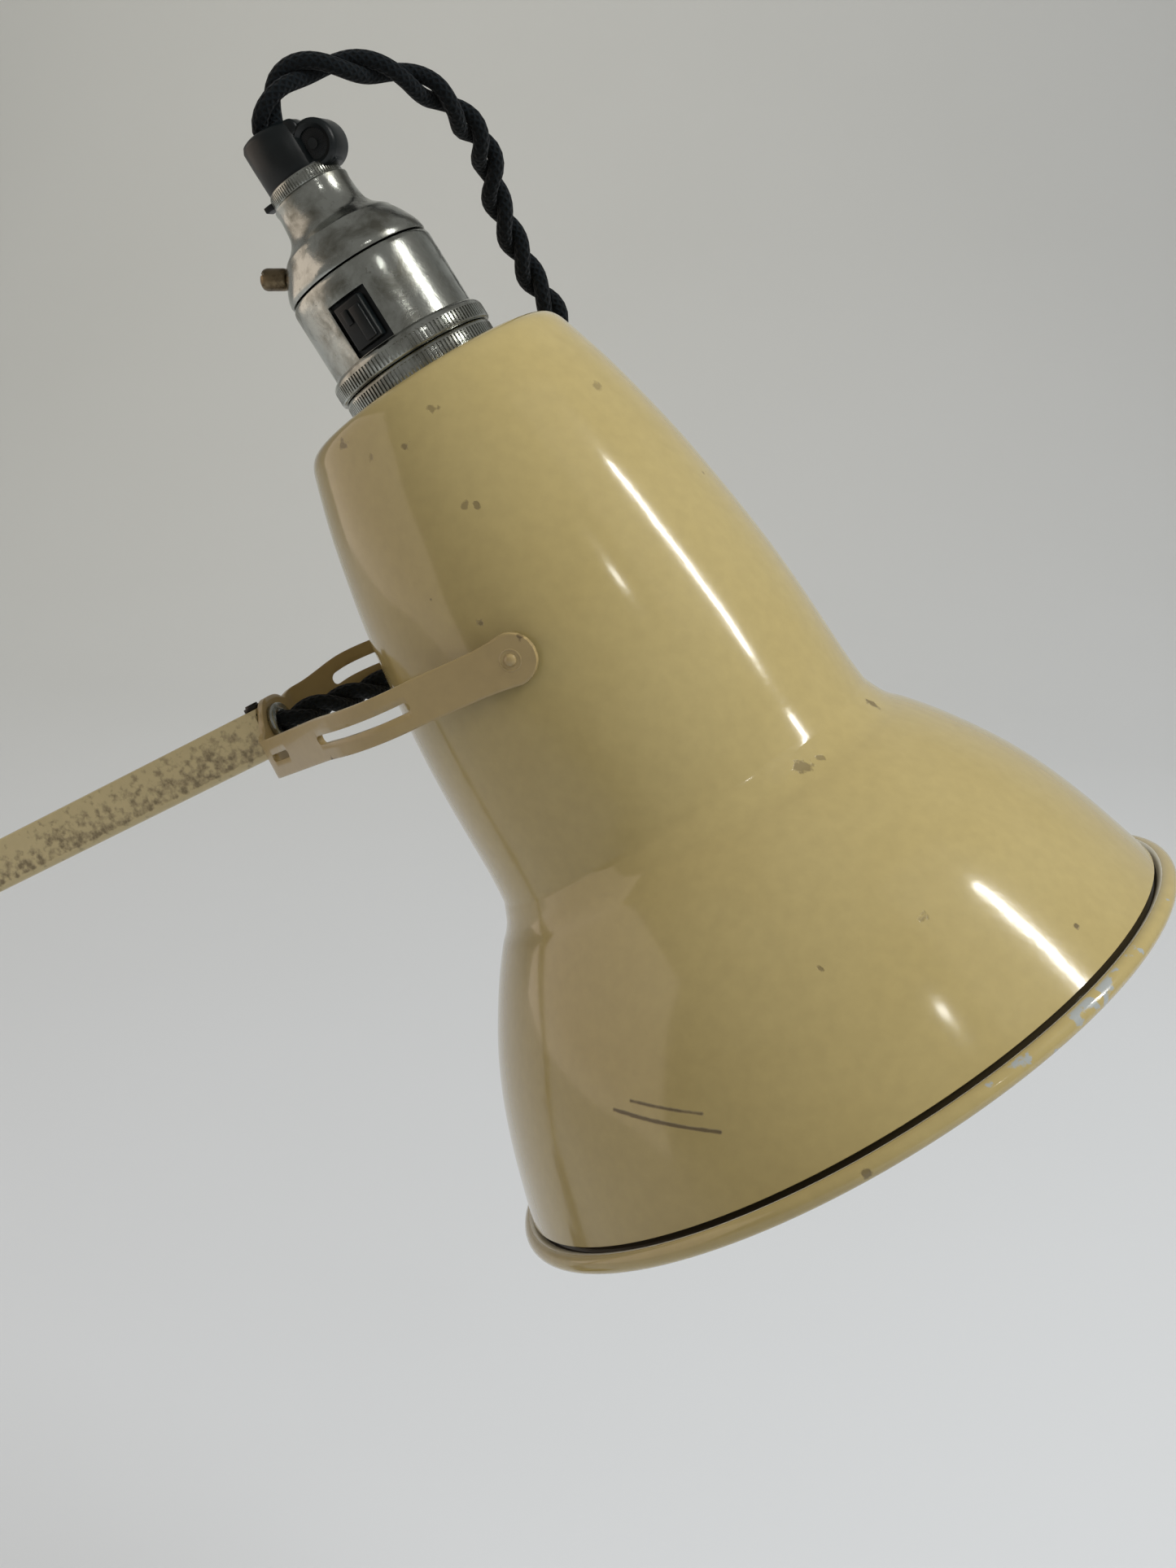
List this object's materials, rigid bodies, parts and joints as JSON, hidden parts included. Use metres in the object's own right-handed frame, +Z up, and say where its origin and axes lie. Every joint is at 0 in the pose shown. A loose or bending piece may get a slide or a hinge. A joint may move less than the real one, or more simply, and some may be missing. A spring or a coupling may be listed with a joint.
{
  "type": "balanced-arm desk lamp",
  "caption": "Balanced-arm desk lamp with a stepped square base, sprung lower arm, square-tube upper arm, slotted U-fork and a waisted spun metal shade on a switched bayonet holder.",
  "frame": {"origin": "centre of the underside of the square base, on the surface it stands on", "axes": "+Z up; arms in the XZ plane at rest with the shade towards +X; Y across the arms"},
  "size_m": [0.6143, 0.182, 0.6215],
  "materials": {
    "felt": "pressed wool felt",
    "cast_enamel": "stoved enamel over cast iron",
    "enamel_steel": "stoved enamel, worn at the edges",
    "shade_enamel": "stoved enamel over spun aluminium",
    "plated_steel": "dull nickel plate",
    "plated_brass": "tarnished nickel plate over brass",
    "blackened_steel": "blackened",
    "spring_wire": "drawn spring wire",
    "bronze": "turned bronze",
    "brass": "turned brass",
    "bakelite": "moulded phenolic",
    "black_rubber": "moulded rubber",
    "braid": "braided twisted flex",
    "bulb_metal": "drawn",
    "bulb_glass": "clear glass"
  },
  "bodies": {
    "base": {"base_felt": "felt", "base_casting": "cast_enamel", "base_collar": "cast_enamel", "lead_bush": "black_rubber", "mains_lead": "braid", "mains_coil": "braid", "plug_body": "bakelite", "plug_pins": "brass", "plug_screw": "brass"},
    "bracket": {"spindle": "plated_steel", "spindle_nut": "plated_steel", "thrust_washer": "bronze", "bracket": "enamel_steel", "anchor_pins": "plated_steel", "lower_pivot_bolt": "plated_steel", "lower_pivot_nut": "plated_brass"},
    "lower_arm": {"lower_tube": "enamel_steel", "elbow_cheeks": "enamel_steel", "elbow_bolt": "plated_steel", "elbow_nut": "plated_brass", "spring_lug": "enamel_steel", "spring_bar": "plated_steel", "flex_in_lower": "braid", "flex_base": "braid"},
    "outer_springs": {"outer_spring_left": "spring_wire", "outer_spring_right": "spring_wire"},
    "middle_spring": {"middle_spring": "spring_wire"},
    "crank": {"crank": "enamel_steel", "crank_pins": "plated_steel"},
    "link": {"link_bars": "enamel_steel"},
    "upper_arm": {"upper_tube": "enamel_steel", "link_top_pin": "plated_steel", "tube_end_bush": "plated_brass", "fork_ferrule": "plated_brass", "flex_in_upper": "braid", "flex_elbow": "braid", "bush_screw": "blackened_steel"},
    "fork": {"fork_strap": "enamel_steel"},
    "head": {"shade": "shade_enamel", "pivot_pins": "plated_steel", "pivot_washers": "plated_steel", "shade_ring": "plated_brass", "lower_band": "plated_brass", "upper_band": "plated_brass", "holder_barrel": "plated_brass", "holder_insulator": "bakelite", "contact_plungers": "brass", "holder_body": "plated_brass", "holder_dome": "plated_brass", "neck_ring": "plated_brass", "cord_cap": "bakelite", "earth_screw": "brass", "switch_plate": "bakelite", "bulb_cap": "bulb_metal", "bulb_glass": "bulb_glass", "flex_head": "braid"},
    "rocker": {"switch_rocker": "bakelite"}
  },
  "joints": [
    {"name": "base_swivel", "type": "hinge", "parent": "base", "child": "bracket", "pos_m": [0, 0, 0.05], "axis": [0, 0, 1], "range_deg": [-170, 170]},
    {"name": "lower_arm_tilt", "type": "hinge", "parent": "bracket", "child": "lower_arm", "pos_m": [0, 0, 0.092], "axis": [0, 1, 0], "range_deg": [-20, 35], "deforming": ["flex_base"]},
    {"name": "outer_spring_stretch", "type": "slide", "parent": "lower_arm", "child": "outer_springs", "axis": [0.2588, 0, -0.9659], "range_m": [-0.01, 0.006], "deforming": ["outer_spring_left", "outer_spring_right"]},
    {"name": "middle_spring_stretch", "type": "slide", "parent": "lower_arm", "child": "middle_spring", "axis": [0.2588, 0, -0.9659], "range_m": [-0.007, 0.012], "deforming": ["middle_spring"]},
    {"name": "crank_turn", "type": "hinge", "parent": "lower_arm", "child": "crank", "pos_m": [0, 0, 0.092], "axis": [0, 1, 0], "range_deg": [-26, 46]},
    {"name": "link_turn", "type": "hinge", "parent": "crank", "child": "link", "pos_m": [-0.02649, 0, 0.07792], "axis": [0, 1, 0], "range_deg": [-46, 26]},
    {"name": "elbow", "type": "hinge", "parent": "lower_arm", "child": "upper_arm", "pos_m": [-0.06212, 0, 0.32382], "axis": [0, 1, 0], "range_deg": [-25, 45], "deforming": ["flex_elbow"]},
    {"name": "fork_swivel", "type": "hinge", "parent": "upper_arm", "child": "fork", "pos_m": [0.22926, 0, 0.47875], "axis": [0.8829, 0, 0.4695], "range_deg": [-90, 90]},
    {"name": "head_tilt", "type": "hinge", "parent": "fork", "child": "head", "pos_m": [0.29996, 0, 0.50808], "axis": [0, 1, 0], "range_deg": [-45, 40], "deforming": ["flex_head"]},
    {"name": "switch_rock", "type": "hinge", "parent": "head", "child": "rocker", "pos_m": [0.25873, -0.0154, 0.57085], "axis": [-0.549, 0, 0.8358], "range_deg": [0, 16]}
  ],
  "couplings": [
    {"joint": "outer_spring_stretch", "follows": "lower_arm_tilt", "m_per_rad": -0.014},
    {"joint": "middle_spring_stretch", "follows": "elbow", "m_per_rad": 0.013787},
    {"joint": "crank_turn", "follows": "elbow", "ratio": 1},
    {"joint": "link_turn", "follows": "elbow", "ratio": -1}
  ]
}
